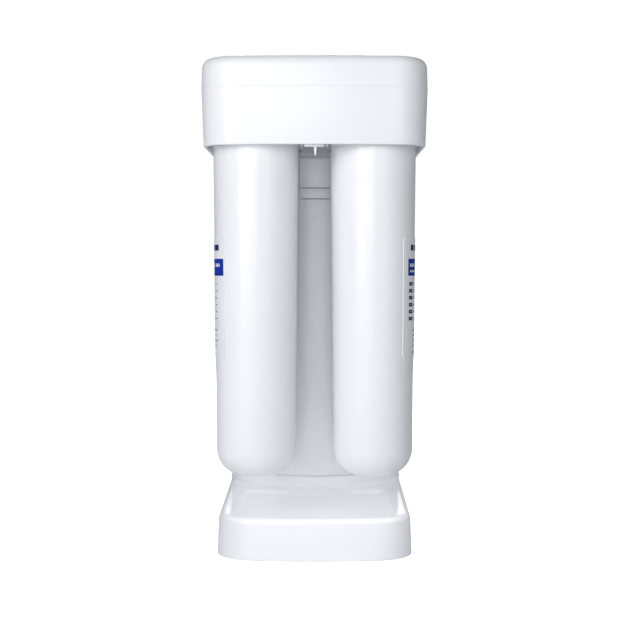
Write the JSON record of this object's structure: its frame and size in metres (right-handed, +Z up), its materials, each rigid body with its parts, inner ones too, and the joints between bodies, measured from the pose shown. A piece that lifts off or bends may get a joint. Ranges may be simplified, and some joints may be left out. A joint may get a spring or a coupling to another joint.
{
  "type": "reverse osmosis unit",
  "caption": "Compact upright water filter: tapered white cartridges hang from a rounded head in front of a storage tank that stands on a tray base.",
  "frame": {"origin": "bottom centre of the bounding box, on the surface that the unit stands on", "axes": "+Z up; -Y is the front with the cartridges, +Y the rear with the tube connectors; +X to the right seen from the front"},
  "size_m": [0.1914, 0.371, 0.422],
  "materials": {
    "shell": "satin white moulded plastic",
    "tank": "satin light grey-white moulded plastic",
    "cartridge": "smooth white moulded plastic",
    "label": "printed film, white with a blue band",
    "inner_plastic": "unpolished natural plastic",
    "rotor": "blue acetal",
    "rubber": "black rubber",
    "bladder": "dark butyl rubber",
    "sediment": "spun fibre",
    "carbon": "pressed carbon block",
    "membrane": "wound membrane sheet",
    "tube": "flexible polyethylene tube",
    "feed_collet": "red acetal",
    "drain_collet": "black acetal",
    "product_collet": "blue acetal",
    "steel": "zinc-plated steel"
  },
  "bodies": {
    "frame": {"base_shell": "shell", "base_plate": "inner_plastic", "foot_1": "rubber", "foot_2": "rubber", "foot_3": "rubber", "foot_4": "rubber", "base_screw_1": "steel", "base_screw_2": "steel", "base_screw_3": "steel", "base_screw_4": "steel", "tank_lower_shell": "tank", "tank_upper_shell": "tank", "tank_clamp_ring": "tank", "tank_gasket": "rubber", "tank_bladder": "bladder", "tank_nipple": "inner_plastic", "head_housing": "shell", "manifold": "inner_plastic", "manifold_screw_1": "steel", "manifold_screw_2": "steel", "manifold_screw_3": "steel", "manifold_screw_4": "steel", "shutoff_valve_body": "inner_plastic", "shutoff_valve_cap": "inner_plastic", "check_valve": "rotor", "flow_restrictor": "drain_collet", "tank_tube": "tube", "drain_tube": "tube", "feed_connector": "inner_plastic", "product_connector": "inner_plastic", "drain_connector": "inner_plastic"},
    "lid": {"head_lid": "shell"},
    "sediment_filter_valve": {"sediment_filter_rotor": "rotor"},
    "sediment_filter_cartridge": {"sediment_filter_body": "cartridge", "sediment_filter_cap": "inner_plastic", "sediment_filter_seal": "rubber", "sediment_filter_core": "sediment", "sediment_filter_label": "label"},
    "carbon_filter_valve": {"carbon_filter_rotor": "rotor"},
    "carbon_filter_cartridge": {"carbon_filter_body": "cartridge", "carbon_filter_cap": "inner_plastic", "carbon_filter_seal": "rubber", "carbon_filter_core": "carbon", "carbon_filter_label": "label"},
    "membrane_filter_valve": {"membrane_filter_rotor": "rotor"},
    "membrane_filter_cartridge": {"membrane_filter_body": "cartridge", "membrane_filter_cap": "inner_plastic", "membrane_filter_seal": "rubber", "membrane_filter_core": "membrane", "membrane_filter_label": "label"},
    "mineral_filter_valve": {"mineral_filter_rotor": "rotor"},
    "mineral_filter_cartridge": {"mineral_filter_body": "cartridge", "mineral_filter_cap": "inner_plastic", "mineral_filter_seal": "rubber", "mineral_filter_core": "carbon", "mineral_filter_label": "label"},
    "feed_release": {"feed_collet": "feed_collet"},
    "product_release": {"product_collet": "product_collet"},
    "drain_release": {"drain_collet": "drain_collet"},
    "shutoff": {"shutoff_piston": "rotor"}
  },
  "joints": [
    {"name": "lid_lift", "type": "slide", "parent": "frame", "child": "lid", "axis": [0, 0, 1], "range_m": [0, 0.04]},
    {"name": "sediment_filter_turn", "type": "hinge", "parent": "frame", "child": "sediment_filter_valve", "pos_m": [-0.0502, -0.1375, 0.382], "axis": [0, 0, 1], "range_deg": [0, 45]},
    {"name": "sediment_filter_pull", "type": "slide", "parent": "sediment_filter_valve", "child": "sediment_filter_cartridge", "axis": [0, 0, -1], "range_m": [0, 0.028]},
    {"name": "carbon_filter_turn", "type": "hinge", "parent": "frame", "child": "carbon_filter_valve", "pos_m": [-0.0502, -0.056, 0.382], "axis": [0, 0, 1], "range_deg": [0, 45]},
    {"name": "carbon_filter_pull", "type": "slide", "parent": "carbon_filter_valve", "child": "carbon_filter_cartridge", "axis": [0, 0, -1], "range_m": [0, 0.028]},
    {"name": "membrane_filter_turn", "type": "hinge", "parent": "frame", "child": "membrane_filter_valve", "pos_m": [0.0502, -0.056, 0.382], "axis": [0, 0, 1], "range_deg": [0, 45]},
    {"name": "membrane_filter_pull", "type": "slide", "parent": "membrane_filter_valve", "child": "membrane_filter_cartridge", "axis": [0, 0, -1], "range_m": [0, 0.028]},
    {"name": "mineral_filter_turn", "type": "hinge", "parent": "frame", "child": "mineral_filter_valve", "pos_m": [0.0502, -0.1375, 0.382], "axis": [0, 0, 1], "range_deg": [0, 45]},
    {"name": "mineral_filter_pull", "type": "slide", "parent": "mineral_filter_valve", "child": "mineral_filter_cartridge", "axis": [0, 0, -1], "range_m": [0, 0.028]},
    {"name": "feed_press", "type": "slide", "parent": "frame", "child": "feed_release", "axis": [0, -1, 0], "range_m": [0, 0.0014]},
    {"name": "product_press", "type": "slide", "parent": "frame", "child": "product_release", "axis": [0, -1, 0], "range_m": [0, 0.0014]},
    {"name": "drain_press", "type": "slide", "parent": "frame", "child": "drain_release", "axis": [0, -1, 0], "range_m": [0, 0.0014]},
    {"name": "shutoff_stroke", "type": "slide", "parent": "frame", "child": "shutoff", "axis": [0, 0, 1], "range_m": [0, 0.003]}
  ]
}
